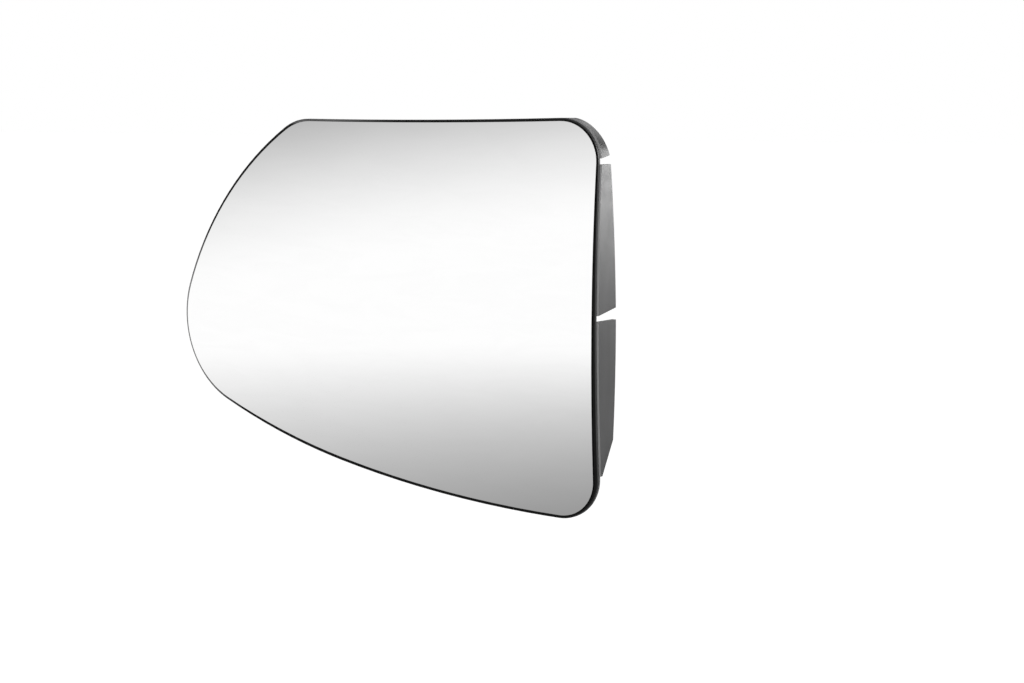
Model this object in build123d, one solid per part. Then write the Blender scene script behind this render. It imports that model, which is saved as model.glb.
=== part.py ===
"""Clip-in glass of a car door mirror: convex glass, heater film, terminals and backing plate.

Frame: +Z up, the glass faces -Y, +X points towards the car. The origin lies on the adjuster's
axis, in the plane where the adjuster's disc seats on the socket. Sizes are in millimetres.
"""
import os
from math import sqrt, tan, radians

from build123d import *

# Glass: a piece of a sphere, with a ground bevel round its front
glass_width = 172.75
glass_height = 130.85
glass_radius = 1300.0
glass_thickness = 2.0
glass_bevel = 0.35

# Corners of the glass outline before rounding, as shares of its width and height from the adjuster's axis
upper_outer = (-0.253 * glass_width, 0.4713 * glass_height)
upper_inner = (0.448 * glass_width, 0.479 * glass_height)
lower_inner = (0.4409 * glass_width, -0.5271 * glass_height)
bottom_middle = (-0.1482 * glass_width, -0.4258 * glass_height)
outer_tip = (-0.58 * glass_width, -0.2025 * glass_height)

# Crown of each side over its chord, negative where the side is slightly hollow
top_crown = -0.66
inner_crown = -0.87
bottom_crown = 2.73
outer_crown = 12.8

# Rounding of the corners
upper_outer_round = 19.3
upper_inner_round = 13.3
lower_inner_round = 12.15
outer_tip_round = 32.0

# Heater film, stuck to the back of the glass
film_thickness = 0.35
film_inset = 1.5

# Backing plate: floor behind the film and lip round the glass
floor_thickness = 2.2
glass_clearance = 0.12
lip_width = 1.2
lip_setback = 1.0
lip_bevel = 0.35
plate_back_bevel = 2.2

# How far the rim's corners lie off those of the glass
upper_outer_off = (-1.05, -0.41)
upper_inner_off = (-0.55, -0.13)
lower_inner_off = (0.55, 0.0)
bottom_middle_off = (0.0, -0.23)
outer_tip_off = (-0.24, 0.4)

# Crown and roundings of the rim that differ from those of the glass
outer_rim_crown = 12.54
upper_outer_rim_round = 18.3
lower_inner_rim_round = 13.2

# Skirt along the inner side, a step outside the lip
skirt_step = 0.6
skirt_setback = 1.75
skirt_wall = 1.5

# Back edge of the skirt: heights, and depths behind the foremost point of the glass
skirt_top_height = 0.484 * glass_height
skirt_top_depth = 7.9
skirt_shoulder_height = 0.386 * glass_height
skirt_shoulder_depth = 10.5
skirt_crown_height = 0.0
skirt_crown_depth = 15.6
skirt_knee_height = -0.33 * glass_height
skirt_knee_depth = 13.65
skirt_tip_height = -0.4165 * glass_height
skirt_tip_depth = 6.3
skirt_upper_bow = 0.9
skirt_lower_bow = 0.7
skirt_top_round = 2.0

# Slots in the skirt: level lower edge, upper edge flared towards the back
slot_setback = 1.55
slot_width = 1.9
slot_flare = 10.0
upper_slot_height = 0.369 * glass_height
lower_slot_height = -0.0245 * glass_height

# Adjuster socket: round wall that locates the adjuster's boss and seats its disc
socket_radius = 24.0
socket_wall = 2.0
socket_depth = 9.45

# Snap hooks that grip the edge of the adjuster's disc
disc_flange = 6.0
disc_thickness = 2.2
hook_clearance = 0.3
hook_wall = 1.8
hook_angle = 20.0
hook_barb = 1.4
hook_land = 0.6
hook_count = 4

# Stiffening ribs on the back of the floor
rib_wall = 1.3
rib_height = 2.6
rib_inset = 5.0
rib_count = 12

# Window in the plate for the heater terminals
window_reach = 0.3357 * glass_width
window_width = 15.0
window_height = 25.0
window_round = 2.0

# Blade terminals and their rivets
blade_width = 6.3
blade_thickness = 0.8
blade_length = 10.5
blade_bevel = 1.2
blade_hole = 1.6
blade_hole_from_tip = 4.0
foot_length = 9.0
terminal_bend = 0.4
terminal_spacing = 12.0
rivet_shank = 2.6
rivet_head = 4.6
rivet_head_height = 0.7

# Layers, as depths behind the front of the glass
film_front = glass_thickness
floor_front = film_front + film_thickness
floor_back = floor_front + floor_thickness
floor_middle = floor_front + floor_thickness / 2
rib_back = floor_back + rib_height
foot_back = floor_front + blade_thickness

# Foremost point of the glass, and the reach of shapes that are trimmed afterwards
apex_y = -(floor_back + socket_depth)
reach = 2 * (upper_inner[0] - outer_tip[0])


def dome(depth):
    """Everything behind the sphere that lies this deep behind the front of the glass."""
    return Pos(0, apex_y + glass_radius, 0) * Sphere(glass_radius - depth)


def glass_fall(across, height):
    """How far the front of the glass falls back at a place, from its foremost point."""
    return glass_radius - sqrt(glass_radius**2 - across**2 - height**2)


def column(sketch):
    """A front-view sketch drawn out along the adjuster's axis."""
    return extrude(Plane.XZ * sketch, amount=reach, both=True)


def layer(sketch, front, back):
    """A front-view sketch as a bowed sheet that follows the glass, between two depths."""
    return (column(sketch) & dome(front)) - dome(back)


def spherical_face(sheet, place):
    """Front (0) or back (-1) face of a bowed sheet."""
    return sheet.faces().filter_by(GeomType.SPHERE).sort_by(Axis.Y)[place]


def beside(corner, off):
    """A corner moved by a small offset."""
    return (corner[0] + off[0], corner[1] + off[1])


def outline(first, second, third, fourth, fifth, last_crown, first_round, third_round):
    """Front-view outline from its corners, clockwise from the upper outer one, with crowned sides."""
    top = SagittaArc(first, second, top_crown)
    inner = SagittaArc(second, third, inner_crown)
    bottom = SagittaArc(third, fourth, bottom_crown)
    bottom_rise = TangentArc(fourth, fifth, tangent=bottom % 1)
    outer = SagittaArc(fifth, first, last_crown)
    sketch = make_face(top + inner + bottom + bottom_rise + outer)
    roundings = (
        (first, first_round),
        (second, upper_inner_round),
        (third, third_round),
        (fifth, outer_tip_round),
    )
    for corner, radius in roundings:
        sketch = fillet(sketch.vertices().sort_by_distance(corner)[0], radius)
    return sketch


def grown(sketch, amount):
    """An outline moved outwards by an amount, or inwards if it's negative, still in circular arcs."""
    edges = offset(sketch, amount).edges()
    return make_face([ThreePointArc(edge @ 0, edge @ 0.5, edge @ 1) for edge in edges])


def make_glass(glass_edge):
    """Convex pane with a ground bevel round its front."""
    pane = layer(glass_edge, 0, glass_thickness)
    return chamfer(spherical_face(pane, 0).edges(), glass_bevel)


def terminal_places():
    """Centres of the two terminal feet in front view, upper one first."""
    return [Pos(-window_reach, side * terminal_spacing / 2) for side in (1, -1)]


def make_film(glass_edge):
    """Self-adhesive heater film with a hole for each rivet."""
    film = layer(grown(glass_edge, -film_inset), film_front, floor_front)
    for place in terminal_places():
        film -= column(place * Circle(rivet_shank / 2))
    return film


def make_terminal(place):
    """Blade terminal bent from strip: a foot on the film and a blade that stands up from it."""
    foot = layer(place * Rectangle(foot_length, blade_width), floor_front, foot_back)
    root_x = place.position.X - foot_length / 2
    root_y = apex_y + floor_front + glass_fall(root_x, place.position.Y)
    profile = Rectangle(blade_length, blade_width, align=(Align.MIN, Align.CENTER))
    profile = chamfer(profile.vertices().group_by(Axis.X)[-1], blade_bevel)
    profile -= Pos(blade_length - blade_hole_from_tip, 0) * Circle(blade_hole / 2)
    standing = Plane(origin=(root_x, root_y, place.position.Y), x_dir=(0, 1, 0), z_dir=(1, 0, 0))
    blade = extrude(standing * profile, amount=blade_thickness)
    bent = foot + (blade & dome(floor_front + blade_thickness / 2))
    inside = (root_x + blade_thickness, root_y + blade_thickness, place.position.Y)
    bent = fillet(bent.edges().sort_by_distance(inside)[0], terminal_bend)
    outside = (root_x, root_y, place.position.Y)
    bent = fillet(bent.edges().sort_by_distance(outside)[0], terminal_bend + blade_thickness)
    return bent - column(place * Circle(rivet_shank / 2))


def make_rivets():
    """Rivets through the terminal feet and the film, each with a bevelled head."""
    rivets = []
    for place in terminal_places():
        shank = layer(place * Circle(rivet_shank / 2), film_front, foot_back)
        head = layer(place * Circle(rivet_head / 2), foot_back, foot_back + rivet_head_height)
        head = chamfer(spherical_face(head, -1).edges(), rivet_head_height / 2)
        rivets.append((shank + head).solid())
    return Compound(children=rivets)


def make_tray(rim_edge):
    """Floor and rim as one bowed sheet, bevelled round its front and its back."""
    tray = layer(grown(rim_edge, lip_width), lip_setback, floor_back)
    tray = chamfer(spherical_face(tray, 0).edges(), lip_bevel)
    return chamfer(spherical_face(tray, -1).edges(), plate_back_bevel)


def glass_pocket(glass_edge):
    """Cutter for the recess that takes the film and the glass, down to the floor."""
    return column(grown(glass_edge, glass_clearance)) - dome(floor_front)


def skirt_band(rim_edge, outer):
    """Front-view band of the skirt's wall, from its inner face out to an offset of the rim."""
    inner = lip_width + skirt_step - skirt_wall
    return grown(rim_edge, outer) - grown(rim_edge, inner)


def side_prism(profile):
    """Side-view profile drawn out over the inner part of the mirror, from the upper corner on."""
    start = upper_inner[0] - upper_inner_round
    return extrude(Plane.YZ.offset(start) * profile, amount=reach)


def make_skirt(rim_edge):
    """Skirt along the inner side, with its back edge cut to the side-view curve."""
    front = apex_y
    top = (apex_y + skirt_top_depth, skirt_top_height)
    shoulder = (apex_y + skirt_shoulder_depth, skirt_shoulder_height)
    crown = (apex_y + skirt_crown_depth, skirt_crown_height)
    knee = (apex_y + skirt_knee_depth, skirt_knee_height)
    tip = (apex_y + skirt_tip_depth, skirt_tip_height)
    edges = Line((front, skirt_top_height), top)
    edges += Line(top, shoulder)
    edges += SagittaArc(shoulder, crown, skirt_upper_bow)
    edges += SagittaArc(crown, knee, skirt_lower_bow)
    edges += Line(knee, tip)
    edges += Line(tip, (front, skirt_tip_height))
    edges += Line((front, skirt_tip_height), (front, skirt_top_height))
    profile = make_face(edges)
    profile = fillet(profile.vertices().sort_by_distance(top)[0], skirt_top_round)
    band = column(skirt_band(rim_edge, lip_width + skirt_step))
    return (band & dome(skirt_setback)) & side_prism(profile)


def make_slot(rim_edge, height):
    """Cutter for one slot of the skirt, from the lip to the skirt's back edge."""
    root = glass_fall(upper_inner[0], height) + slot_setback
    end = 2 * skirt_crown_depth
    rise = (end - root) * tan(radians(slot_flare))
    corners = [
        (apex_y + root, height),
        (apex_y + root, height + slot_width),
        (apex_y + end, height + slot_width + rise),
        (apex_y + end, height),
    ]
    band = column(skirt_band(rim_edge, 2 * (lip_width + skirt_step)))
    return band & side_prism(make_face(Polyline(corners, close=True)))


def make_socket():
    """Round wall on the floor that takes the adjuster's boss."""
    ring = Circle(socket_radius + socket_wall) - Circle(socket_radius)
    return extrude(Plane.XZ * ring, amount=reach) & dome(floor_middle)


def make_hooks():
    """Snap hooks round the socket, each with a barb behind the adjuster's disc."""
    face = socket_radius + socket_wall + disc_flange + hook_clearance
    catch = disc_thickness + hook_clearance
    land = catch + hook_land
    end = land + hook_barb
    profile = Polyline(
        (face, apex_y),
        (face, catch),
        (face - hook_barb, catch),
        (face - hook_barb, land),
        (face, end),
        (face + hook_wall, end),
        (face + hook_wall, apex_y),
        close=True,
    )
    hook = revolve(make_face(profile), Axis.Y, hook_angle) & dome(floor_middle)
    hook = Rot(0, -hook_angle / 2, 0) * hook
    return [Rot(0, number * 360 / hook_count, 0) * hook for number in range(hook_count)]


def window_outline(border):
    """Front-view outline of the terminal window, grown by a border."""
    width = window_width + 2 * border
    height = window_height + 2 * border
    return Pos(-window_reach, 0) * RectangleRounded(width, height, window_round + border)


def make_ribs(rim_edge):
    """Border rib, spokes from the socket to it, and a frame round the terminal window."""
    field = grown(rim_edge, -rib_inset)
    web = field - grown(rim_edge, -rib_inset - rib_wall)
    spoke = Rectangle(reach, rib_wall, align=(Align.MIN, Align.CENTER))
    spoke -= Circle(socket_radius + socket_wall / 2)
    for number in range(rib_count):
        web += (Rot(0, 0, (number + 0.5) * 360 / rib_count) * spoke) & field
    web += window_outline(rib_wall)
    return layer(web, floor_middle, rib_back)


def make_plate(glass_edge, rim_edge):
    """Backing plate, one moulding: tray, skirt, ribs, socket and hooks, less the cut-outs."""
    plate = make_tray(rim_edge) + make_skirt(rim_edge) + make_ribs(rim_edge) + make_socket()
    for hook in make_hooks():
        plate += hook
    plate -= glass_pocket(glass_edge)
    for height in (upper_slot_height, lower_slot_height):
        plate -= make_slot(rim_edge, height)
    return plate - column(window_outline(0))


os.makedirs("parts", exist_ok=True)
glass_edge = outline(
    upper_outer,
    upper_inner,
    lower_inner,
    bottom_middle,
    outer_tip,
    outer_crown,
    upper_outer_round,
    lower_inner_round,
)
rim_edge = outline(
    beside(upper_outer, upper_outer_off),
    beside(upper_inner, upper_inner_off),
    beside(lower_inner, lower_inner_off),
    beside(bottom_middle, bottom_middle_off),
    beside(outer_tip, outer_tip_off),
    outer_rim_crown,
    upper_outer_rim_round,
    lower_inner_rim_round,
)
upper_place, lower_place = terminal_places()
export_step(make_glass(glass_edge), "parts/mirror_glass.step")
export_step(make_film(glass_edge), "parts/heater_film.step")
export_step(make_terminal(upper_place), "parts/terminal_upper.step")
export_step(make_terminal(lower_place), "parts/terminal_lower.step")
export_step(make_rivets(), "parts/terminal_rivets.step")
export_step(make_plate(glass_edge, rim_edge), "parts/backing_plate.step")
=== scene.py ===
from math import radians

import bpy
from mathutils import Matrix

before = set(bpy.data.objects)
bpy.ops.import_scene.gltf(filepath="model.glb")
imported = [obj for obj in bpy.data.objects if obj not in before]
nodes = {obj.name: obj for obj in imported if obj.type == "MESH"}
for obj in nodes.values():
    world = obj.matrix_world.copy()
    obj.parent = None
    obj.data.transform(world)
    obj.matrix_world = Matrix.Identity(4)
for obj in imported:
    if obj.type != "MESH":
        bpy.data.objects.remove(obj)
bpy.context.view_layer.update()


# Mirror glass
# A pane pressed to a large sphere, with a bright metal coating and a bevel ground round its front.
# Its cut side is sealed black. It lies on the heater film, in the tray of the backing plate.
glass_centre = (0.0, 1.286, 0.0)
glass_radius = 1.3
mm_per_metre = 1000.0
coating_depth = 0.37
seal_depth = 0.42
coating_clear = (0.961, 0.961, 0.961, 1.0)
coating_hazed = (0.935, 0.935, 0.935, 1.0)
seal_black = (0.004, 0.004, 0.0045, 1.0)
haze_share = 0.4
clean_roughness = 0.012
wiped_roughness = 0.04
speck_roughness = 0.2
seal_roughness = 0.42
pane_specular = 0.02


def add(tree, kind, sockets=None, **settings):
    """Add a shader node with its settings, and set or link its input sockets."""
    made = tree.nodes.new("ShaderNode" + kind)
    for name, value in settings.items():
        setattr(made, name, value)
    for socket, value in (sockets or {}).items():
        if isinstance(value, bpy.types.NodeSocket):
            tree.links.new(value, made.inputs[socket])
        else:
            made.inputs[socket].default_value = value
    return made


def ramp(tree, value, low, high, at_low=0.0, at_high=1.0, ease="LINEAR"):
    """A value that goes from at_low to at_high while another goes from low to high."""
    limits = {"Value": value, "From Min": low, "From Max": high, "To Min": at_low, "To Max": at_high}
    return add(tree, "MapRange", limits, interpolation_type=ease).outputs["Result"]


def tint(tree, share, first, second):
    """A colour between two colours."""
    mixed = add(tree, "Mix", {0: share, 6: first, 7: second}, data_type="RGBA")
    return mixed.outputs[2]


def sum_of(tree, first, second):
    """The sum of two values."""
    return add(tree, "Math", {0: first, 1: second}, operation="ADD").outputs["Value"]


def product(tree, first, second):
    """The product of two values."""
    return add(tree, "Math", {0: first, 1: second}, operation="MULTIPLY").outputs["Value"]


def millimetres(tree):
    """Place on the piece, in millimetres from its origin."""
    place = add(tree, "TexCoord").outputs["Object"]
    scaled = add(tree, "VectorMath", {0: place, "Scale": mm_per_metre}, operation="SCALE")
    return scaled.outputs["Vector"]


def dress(piece, name):
    """Put a new material on a piece, and return its node tree and its shader."""
    material = bpy.data.materials.new(name)
    material.use_nodes = True
    piece.material_slots[0].material = material
    return material.node_tree, material.node_tree.nodes["Principled BSDF"]


def new_effect(name, inputs, outputs):
    """An empty shader node group with named sockets, and its input and output nodes."""
    effect = bpy.data.node_groups.new(name, "ShaderNodeTree")
    for socket, value in inputs.items():
        kind = "NodeSocketVector" if isinstance(value, tuple) else "NodeSocketFloat"
        made = effect.interface.new_socket(socket, in_out="INPUT", socket_type=kind)
        made.default_value = value
    for socket, kind in outputs.items():
        effect.interface.new_socket(socket, in_out="OUTPUT", socket_type="NodeSocket" + kind)
    return effect, effect.nodes.new("NodeGroupInput"), effect.nodes.new("NodeGroupOutput")


# Depth in millimetres behind the sphere of the glass front, and that sphere's own normal
depth_reach = 0.1
reach_in_mm = depth_reach * mm_per_metre
deepest_radius = glass_radius - depth_reach
bowed_depth, _, given = new_effect("bowed depth", {}, {"Depth": "Float", "Front Normal": "Vector"})
place = add(bowed_depth, "TexCoord").outputs["Object"]
outwards = add(bowed_depth, "VectorMath", {0: place, 1: glass_centre}, operation="SUBTRACT")
distance = add(bowed_depth, "VectorMath", {0: outwards.outputs["Vector"]}, operation="LENGTH")
depth = ramp(bowed_depth, distance.outputs["Value"], glass_radius, deepest_radius, 0.0, reach_in_mm)
normal = add(bowed_depth, "VectorMath", {0: outwards.outputs["Vector"]}, operation="NORMALIZE")
bowed_depth.links.new(depth, given.inputs["Depth"])
bowed_depth.links.new(normal.outputs["Vector"], given.inputs["Front Normal"])

# Soft patches: where a surface is a little paler, rougher or hazier than elsewhere
patch_starts = 0.32
patch_is_full = 0.68
patches, wanted, given = new_effect(
    "soft patches",
    {"Stretch": (1.0, 1.0, 1.0), "Scale": 0.1, "Detail": 3.0, "Twist": 0.0},
    {"Share": "Float"},
)
stretch = {0: millimetres(patches), 1: wanted.outputs["Stretch"]}
stretched = add(patches, "VectorMath", stretch, operation="MULTIPLY")
cloud = add(
    patches,
    "TexNoise",
    {
        "Vector": stretched.outputs["Vector"],
        "Scale": wanted.outputs["Scale"],
        "Detail": wanted.outputs["Detail"],
        "Distortion": wanted.outputs["Twist"],
    },
)
share = ramp(patches, cloud.outputs["Fac"], patch_starts, patch_is_full, ease="SMOOTHSTEP")
patches.links.new(share, given.inputs["Share"])

# Fine dust: small round specks, some places with more of them
dust, wanted, given = new_effect("fine dust", {"Spacing": 1.0, "Speck": 0.1}, {"Share": "Float"})
per_spacing = add(dust, "Math", {0: 1.0, 1: wanted.outputs["Spacing"]}, operation="DIVIDE")
cells = add(dust, "TexVoronoi", {"Vector": millimetres(dust), "Scale": per_spacing.outputs["Value"]})
speck_limits = {0: cells.outputs["Distance"], 1: wanted.outputs["Speck"]}
speck = add(dust, "Math", speck_limits, operation="LESS_THAN")
settled = add(dust, "Group", {"Scale": 0.045}, node_tree=patches)
lying = product(dust, speck.outputs["Value"], settled.outputs["Share"])
dust.links.new(lying, given.inputs["Share"])

tree, surface = dress(nodes["mirror_glass"], "coated convex glass")
shape = add(tree, "Group", node_tree=bowed_depth)
coated = ramp(tree, shape.outputs["Depth"], seal_depth, coating_depth)
wipes = {"Stretch": (0.35, 1.0, 1.6), "Scale": 0.11, "Detail": 5.0, "Twist": 1.2}
wiped = add(tree, "Group", wipes, node_tree=patches)
specks = add(tree, "Group", {"Spacing": 2.6, "Speck": 0.028}, node_tree=dust)
haze = product(tree, wiped.outputs["Share"], haze_share)
front_colour = tint(tree, sum_of(tree, haze, specks.outputs["Share"]), coating_clear, coating_hazed)
tree.links.new(tint(tree, coated, seal_black, front_colour), surface.inputs["Base Color"])
tree.links.new(coated, surface.inputs["Metallic"])
surface.inputs["Specular IOR Level"].default_value = pane_specular
wiped_gloss = ramp(tree, wiped.outputs["Share"], 0.0, 1.0, clean_roughness, wiped_roughness)
front_gloss = sum_of(tree, wiped_gloss, product(tree, specks.outputs["Share"], speck_roughness))
sealed_gloss = ramp(tree, coated, 0.0, 1.0, seal_roughness, 0.0)
pane_gloss = sum_of(tree, product(tree, coated, front_gloss), sealed_gloss)
tree.links.new(pane_gloss, surface.inputs["Roughness"])
facing = add(tree, "NewGeometry").outputs["Normal"]
normals = {0: coated, 4: facing, 5: shape.outputs["Front Normal"]}
true_normal = add(tree, "Mix", normals, data_type="VECTOR").outputs[1]
rolled = add(tree, "Group", {"Scale": 0.03, "Detail": 1.0}, node_tree=patches)
wave = add(
    tree,
    "Bump",
    {"Strength": 0.04, "Distance": 0.0002, "Height": rolled.outputs["Share"], "Normal": true_normal},
)
tree.links.new(wave.outputs["Normal"], surface.inputs["Normal"])


# Heater film
# A self-adhesive sheet of dark polyester with printed silver tracks, cut smaller than the glass.
# It joins the glass to the plate, and shows only in the window round the terminals.
film_dark = (0.030, 0.031, 0.034, 1.0)
film_pale = (0.044, 0.045, 0.048, 1.0)
track_silver = (0.52, 0.52, 0.50, 1.0)
track_pitch = 4.8
track_width = 0.9
track_fade = 0.08
track_raggedness = 0.06
track_metal = 0.8
film_smooth = 0.34
film_rough = 0.5
mottle_height = 0.3

tree, surface = dress(nodes["heater_film"], "printed heater film")
across = add(tree, "SeparateXYZ", {"Vector": millimetres(tree)})
from_track = add(tree, "Math", {0: across.outputs["Z"], 1: track_pitch / 2}, operation="PINGPONG")
ragged = add(tree, "Group", {"Scale": 1.8, "Detail": 2.0}, node_tree=patches)
nibbled = product(tree, ragged.outputs["Share"], track_raggedness)
edge = sum_of(tree, from_track.outputs["Value"], nibbled)
printed = ramp(tree, edge, track_width / 2 + track_fade, track_width / 2)
mottled = add(tree, "Group", {"Scale": 0.5, "Detail": 4.0}, node_tree=patches)
sheet_colour = tint(tree, mottled.outputs["Share"], film_dark, film_pale)
tree.links.new(tint(tree, printed, sheet_colour, track_silver), surface.inputs["Base Color"])
tree.links.new(product(tree, printed, track_metal), surface.inputs["Metallic"])
sheet_gloss = ramp(tree, mottled.outputs["Share"], 0.0, 1.0, film_smooth, film_rough)
tree.links.new(sheet_gloss, surface.inputs["Roughness"])
relief = sum_of(tree, printed, product(tree, mottled.outputs["Share"], mottle_height))
ink = add(tree, "Bump", {"Strength": 0.5, "Distance": 0.00004, "Height": relief})
tree.links.new(ink.outputs["Normal"], surface.inputs["Normal"])


# Terminals
# Two blades of brass strip, stamped and bent, for the heater's push-on connectors.
# They stand in the plate's window, each with its foot on the film, held by one rivet.
brass_bright = (0.78, 0.60, 0.30, 1.0)
brass_dull = (0.50, 0.35, 0.17, 1.0)
tarnish_share = 0.7
brass_smooth = 0.2
brass_rough = 0.32
tarnish_roughness = 0.18

# Fine lines drawn along a surface by rolling: streaks of gloss and shallow furrows
furrow_starts = 0.3
furrow_is_full = 0.7
drawn_lines, wanted, given = new_effect(
    "drawn lines",
    {"Stretch": (1.0, 1.0, 1.0), "Scale": 8.0},
    {"Share": "Float"},
)
stretch = {0: millimetres(drawn_lines), 1: wanted.outputs["Stretch"]}
streak = add(drawn_lines, "VectorMath", stretch, operation="MULTIPLY").outputs["Vector"]
lines = add(drawn_lines, "TexNoise", {"Vector": streak, "Scale": wanted.outputs["Scale"], "Detail": 3.0})
furrow = ramp(drawn_lines, lines.outputs["Fac"], furrow_starts, furrow_is_full)
drawn_lines.links.new(furrow, given.inputs["Share"])

for name in ("terminal_upper", "terminal_lower"):
    tree, surface = dress(nodes[name], "rolled brass strip")
    furrows = add(tree, "Group", {"Stretch": (0.04, 0.04, 1.0), "Scale": 9.0}, node_tree=drawn_lines)
    tarnish = add(tree, "Group", {"Scale": 0.7, "Detail": 5.0}, node_tree=patches)
    dulled = product(tree, tarnish.outputs["Share"], tarnish_share)
    tree.links.new(tint(tree, dulled, brass_bright, brass_dull), surface.inputs["Base Color"])
    surface.inputs["Metallic"].default_value = 1.0
    streaked = ramp(tree, furrows.outputs["Share"], 0.0, 1.0, brass_smooth, brass_rough)
    dull_gloss = sum_of(tree, streaked, product(tree, dulled, tarnish_roughness))
    tree.links.new(dull_gloss, surface.inputs["Roughness"])
    rolled = add(tree, "Bump", {"Strength": 0.25, "Distance": 0.00003, "Height": furrows.outputs["Share"]})
    tree.links.new(rolled.outputs["Normal"], surface.inputs["Normal"])


# Rivets
# Two small steel rivets, turned from wire and set through the feet of the terminals and the film.
# Turning leaves fine rings on their heads, and setting leaves a dull middle.
rivet_places = ((-57.99, 6.0), (-57.99, -6.0))
without_depth = (1.0, 0.0, 1.0)
steel_bright = (0.66, 0.66, 0.65, 1.0)
steel_dull = (0.40, 0.39, 0.38, 1.0)
ring_radians_per_mm = 34.0
middle_edge = 1.1
middle_is_full = 0.3
stain_share = 0.5
middle_share = 0.4
steel_smooth = 0.22
steel_rough = 0.5

tree, surface = dress(nodes["terminal_rivets"], "turned steel")
radii = []
for across, height in rivet_places:
    axis_place = {0: millimetres(tree), 1: (across, 0.0, height)}
    from_axis = add(tree, "VectorMath", axis_place, operation="SUBTRACT").outputs["Vector"]
    flat = add(tree, "VectorMath", {0: from_axis, 1: without_depth}, operation="MULTIPLY")
    away = add(tree, "VectorMath", {0: flat.outputs["Vector"]}, operation="LENGTH")
    radii.append(away.outputs["Value"])
radius = add(tree, "Math", {0: radii[0], 1: radii[1]}, operation="MINIMUM").outputs["Value"]
ring_angle = product(tree, radius, ring_radians_per_mm)
rings = add(tree, "Math", {0: ring_angle}, operation="SINE").outputs["Value"]
stained = add(tree, "Group", {"Scale": 1.4, "Detail": 4.0}, node_tree=patches)
middle = ramp(tree, radius, middle_edge, middle_is_full)
stain = product(tree, stained.outputs["Share"], stain_share)
dulled = sum_of(tree, stain, product(tree, middle, middle_share))
tree.links.new(tint(tree, dulled, steel_bright, steel_dull), surface.inputs["Base Color"])
surface.inputs["Metallic"].default_value = 1.0
tree.links.new(ramp(tree, dulled, 0.0, 1.0, steel_smooth, steel_rough), surface.inputs["Roughness"])
turned = add(tree, "Bump", {"Strength": 0.2, "Distance": 0.00002, "Height": rings})
tree.links.new(turned.outputs["Normal"], surface.inputs["Normal"])


# Backing plate
# One moulding of black plastic: tray, lip round the glass, slotted skirt, ribs, socket and snap hooks.
# Its mould is spark-eroded, so it is finely grained. The skirt's step carries a painted highlight, and
# parts of the lip a painted sheen.
plate_black = (0.024, 0.024, 0.0245, 1.0)
plate_grey = (0.038, 0.038, 0.0385, 1.0)
plate_smooth = 0.29
plate_rough = 0.36
plate_specular = 0.33
dust_grey = (0.22, 0.21, 0.20, 1.0)
dust_share = 0.25
edge_softness = 0.00012
# Painted highlight: the skirt's step is paler where its edge would catch the light
step_painted_highlight = (0.2, 0.2, 0.201, 1.0)
step_depth = 1.75
step_line_edge = 0.12
step_line_is_full = 0.05
lip_black = (0.003, 0.003, 0.003, 1.0)
# Painted sheen: the lip's left end and its top left are paler, where they would reflect the bright studio
lip_painted_sheen = (0.3, 0.3, 0.3, 1.0)
lip_front_depth = 1.06
lip_front_fade = 0.05
lip_roughness = 0.4
lip_tip = (-96.0, -9.5, -14.0)
tip_sheen_edge = 38.0
tip_sheen_is_full = 16.0
top_sheen_edge = -2.0
top_sheen_is_full = -30.0
top_sheen_share = 0.5
top_lip_starts = 60.4
top_lip_is_full = 61.2

tree, surface = dress(nodes["backing_plate"], "grained black moulding")
shape = add(tree, "Group", node_tree=bowed_depth)
flow_lines = {"Stretch": (1.0, 1.0, 0.35), "Scale": 0.06, "Detail": 4.0, "Twist": 0.6}
flow = add(tree, "Group", flow_lines, node_tree=patches)
handled = add(tree, "Group", {"Scale": 0.22, "Detail": 6.0, "Twist": 0.4}, node_tree=patches)
specks = add(tree, "Group", {"Spacing": 1.7, "Speck": 0.035}, node_tree=dust)
plate_place = millimetres(tree)
grain = add(tree, "TexNoise", {"Vector": plate_place, "Scale": 3.6, "Detail": 3.0, "Roughness": 0.6})
front_limits = (lip_front_depth + lip_front_fade, lip_front_depth - lip_front_fade)
on_lip = ramp(tree, shape.outputs["Depth"], *front_limits)
off_step = add(tree, "Math", {0: shape.outputs["Depth"], 1: step_depth}, operation="SUBTRACT")
from_step = add(tree, "Math", {0: off_step.outputs["Value"]}, operation="ABSOLUTE")
# Share of the painted highlight along the skirt's step
step_highlight_share = ramp(tree, from_step.outputs["Value"], step_line_edge, step_line_is_full)
moulded_colour = tint(tree, flow.outputs["Share"], plate_black, plate_grey)
dusted = product(tree, specks.outputs["Share"], dust_share)
dusty_colour = tint(tree, dusted, moulded_colour, dust_grey)
# Painted sheen on the lip's left end and at its top left
from_tip = add(tree, "VectorMath", {0: plate_place, 1: lip_tip}, operation="DISTANCE").outputs["Value"]
tip_painted_sheen = ramp(tree, from_tip, tip_sheen_edge, tip_sheen_is_full)
along = add(tree, "SeparateXYZ", {"Vector": plate_place}).outputs
on_top = ramp(tree, along["Z"], top_lip_starts, top_lip_is_full)
outer_top = ramp(tree, along["X"], top_sheen_edge, top_sheen_is_full, 0.0, top_sheen_share)
top_painted_sheen = product(tree, on_top, outer_top)
lip_sheened_colour = tint(tree, sum_of(tree, tip_painted_sheen, top_painted_sheen), lip_black, lip_painted_sheen)
lip_colour = tint(tree, on_lip, dusty_colour, lip_sheened_colour)
tree.links.new(tint(tree, step_highlight_share, lip_colour, step_painted_highlight), surface.inputs["Base Color"])
gloss = ramp(tree, handled.outputs["Share"], 0.0, 1.0, plate_smooth, plate_rough)
matt_lip = product(tree, on_lip, lip_roughness)
tree.links.new(sum_of(tree, gloss, matt_lip), surface.inputs["Roughness"])
surface.inputs["Specular IOR Level"].default_value = plate_specular
soft_edges = add(tree, "Bevel", {"Radius": edge_softness}, samples=6)
eroded = add(
    tree,
    "Bump",
    {
        "Strength": 0.22,
        "Distance": 0.00005,
        "Height": grain.outputs["Fac"],
        "Normal": soft_edges.outputs["Normal"],
    },
)
tree.links.new(eroded.outputs["Normal"], surface.inputs["Normal"])


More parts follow.
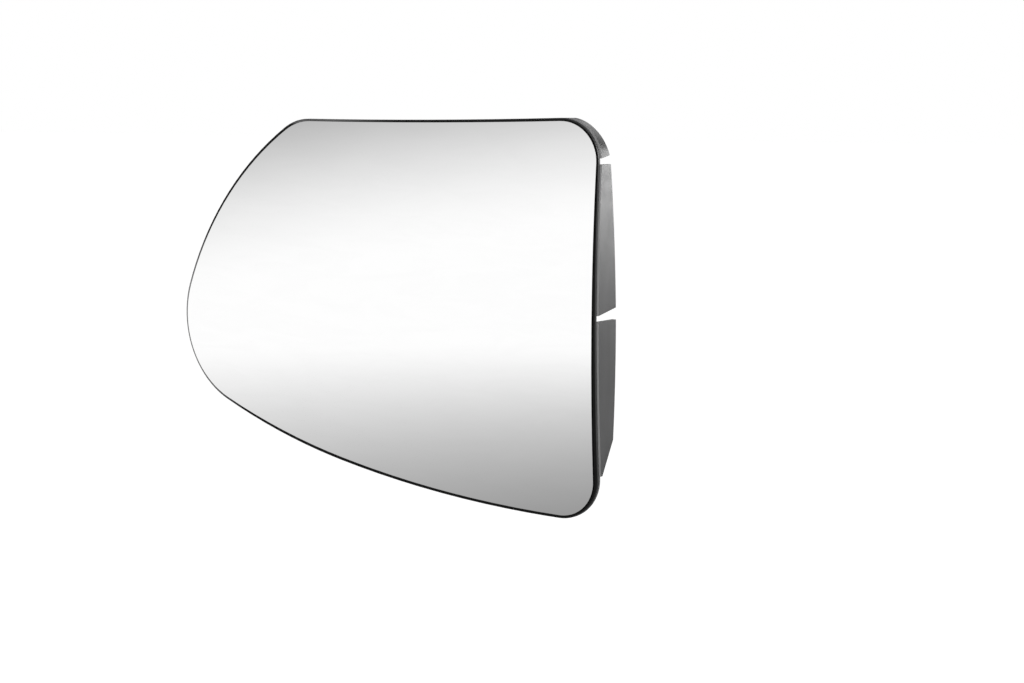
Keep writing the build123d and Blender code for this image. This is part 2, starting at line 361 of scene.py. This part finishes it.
# Studio floor
# A plain white sheet well below the part, which keeps its soft shadow.
# In the bright glass it is greyer near the part and fades to white further away.
floor_level = -0.3
floor_size = 30.0
floor_paper = (0.86, 0.86, 0.86, 1.0)
paper_glow = 0.5
grey_side = (0.3, -0.21, 0.0)
fade_starts = -0.1
fade_ends = 2.436
nearest_strength = 0.05

# Brightness of the studio as reflections see it: white round the part, greyer towards the ceiling
ceiling_lean = (-0.081, -0.155, 1.0)
white_up_to = -0.128
grey_from = 0.077
white_strength = 1.033
grey_strength = 0.25
studio_shade, wanted, given = new_effect(
    "studio shade",
    {"Direction": (0.0, 0.0, 0.0)},
    {"Strength": "Float"},
)
towards = add(studio_shade, "SeparateXYZ", {"Vector": wanted.outputs["Direction"]}).outputs
either_way = add(studio_shade, "Math", {0: towards["Y"]}, operation="ABSOLUTE").outputs["Value"]
folded = add(studio_shade, "CombineXYZ", {"X": towards["X"], "Y": either_way, "Z": towards["Z"]})
lean = {0: folded.outputs["Vector"], 1: ceiling_lean}
upward = add(studio_shade, "VectorMath", lean, operation="DOT_PRODUCT").outputs["Value"]
shade = ramp(
    studio_shade,
    upward,
    white_up_to,
    grey_from,
    white_strength,
    grey_strength,
    ease="SMOOTHSTEP",
)
studio_shade.links.new(shade, given.inputs["Strength"])


def seen_in_mirror(tree, path):
    """1 for rays that come by way of a mirror or through glass, 0 for all others."""
    kinds = {0: path.outputs["Is Glossy Ray"], 1: path.outputs["Is Transmission Ray"]}
    return add(tree, "Math", kinds, operation="MAXIMUM").outputs["Value"]


def blend(tree, share, first, second):
    """A shader between two shaders."""
    return add(tree, "MixShader", {0: share, 1: first, 2: second}).outputs["Shader"]


bpy.ops.object.select_all(action="DESELECT")
bpy.ops.mesh.primitive_plane_add(size=floor_size, location=(0.0, 0.0, floor_level))
floor = bpy.context.object
floor.name = "studio_floor"
bpy.ops.object.transform_apply(location=True, rotation=True, scale=True)
material = bpy.data.materials.new("studio paper")
material.use_nodes = True
floor.data.materials.append(material)
tree = material.node_tree
tree.nodes.clear()
path = add(tree, "LightPath")
place = add(tree, "TexCoord").outputs["Object"]
direction = add(tree, "VectorMath", {0: place}, operation="NORMALIZE").outputs["Vector"]
shade = add(tree, "Group", {"Direction": direction}, node_tree=studio_shade)
away = add(tree, "VectorMath", {0: place}, operation="LENGTH").outputs["Value"]
greyer = add(tree, "VectorMath", {0: direction, 1: grey_side}, operation="DOT_PRODUCT").outputs["Value"]
reach = add(tree, "Math", {0: away, 1: greyer}, operation="SUBTRACT").outputs["Value"]
fade = ramp(tree, reach, fade_starts, fade_ends, nearest_strength, 1.0, ease="SMOOTHSTEP")
paper = add(tree, "BsdfDiffuse", {"Color": floor_paper})
glow = product(tree, path.outputs["Is Camera Ray"], paper_glow)
seen_by_camera = add(tree, "Emission", {"Strength": glow})
lit_paper = add(tree, "AddShader", {0: paper.outputs["BSDF"], 1: seen_by_camera.outputs["Emission"]})
mirrored = add(tree, "Emission", {"Strength": product(tree, fade, shade.outputs["Strength"])})
whole = blend(tree, seen_in_mirror(tree, path), lit_paper.outputs["Shader"], mirrored.outputs["Emission"])
add(tree, "OutputMaterial", {"Surface": whole})


# Studio room
# White all round for the camera, white to grey for reflections, with even light on the part.
pure_white = (1.0, 1.0, 1.0, 1.0)
room_light = 0.62

world = bpy.data.worlds.new("white studio")
bpy.context.scene.world = world
world.use_nodes = True
tree = world.node_tree
tree.nodes.clear()
path = add(tree, "LightPath")
direction = add(tree, "TexCoord").outputs["Generated"]
shade = add(tree, "Group", {"Direction": direction}, node_tree=studio_shade)
room = add(tree, "Background", {"Color": pure_white, "Strength": room_light})
white = add(tree, "Background", {"Color": pure_white, "Strength": 1.0})
mirrored = add(tree, "Background", {"Color": pure_white, "Strength": shade.outputs["Strength"]})
is_mirrored = seen_in_mirror(tree, path)
lit = blend(tree, is_mirrored, room.outputs["Background"], mirrored.outputs["Background"])
whole = blend(tree, path.outputs["Is Camera Ray"], lit, white.outputs["Background"])
add(tree, "OutputWorld", {"Surface": whole})


# Studio lamps
# A wide soft lamp hangs overhead. Behind the part, a small soft box lights the skirt's top and a
# larger one its corner and the back. A small one in front lights the lip's outer bevel.
def hang_lamp(name, place, tilt, heading, width, height, watts):
    """A soft lamp that the camera doesn't see. It is tilted from straight down, then turned."""
    turn = (radians(tilt), 0.0, radians(heading))
    bpy.ops.object.light_add(type="AREA", location=place, rotation=turn)
    lamp = bpy.context.object
    lamp.name = name
    lamp.data.shape = "RECTANGLE"
    lamp.data.size = width
    lamp.data.size_y = height
    lamp.data.energy = watts
    lamp.visible_camera = False
    return lamp


overhead = hang_lamp(
    "overhead_lamp",
    place=(0.1, -0.5, 1.1),
    tilt=24.0,
    heading=0.0,
    width=1.0,
    height=1.0,
    watts=3.0,
)
overhead.visible_glossy = False
hang_lamp(
    "side_soft_box",
    place=(0.27, 0.305, 0.075),
    tilt=90.0,
    heading=148.0,
    width=0.2,
    height=0.15,
    watts=0.68,
)
hang_lamp(
    "rear_soft_box",
    place=(0.05, 0.75, 0.48),
    tilt=57.0,
    heading=176.0,
    width=0.5,
    height=0.3,
    watts=0.8,
)
hang_lamp(
    "rim_soft_box",
    place=(0.42, -0.18, 0.17),
    tilt=70.5,
    heading=62.0,
    width=0.2,
    height=0.12,
    watts=1.2,
)


# Camera
# It stands in front of the part on the car's side and looks slightly down, with a long lens.
camera_place = (0.474257, -0.691309, 0.072339)
camera_fall = 5.9344
camera_heading = 32.2535

bpy.ops.object.camera_add(
    location=camera_place,
    rotation=(radians(90.0 - camera_fall), 0.0, radians(camera_heading)),
)
camera = bpy.context.object
camera.data.lens = 85.0
camera.data.sensor_width = 36.0
camera.data.clip_start = 0.01
bpy.context.scene.camera = camera
bpy.context.scene.view_settings.view_transform = "Standard"
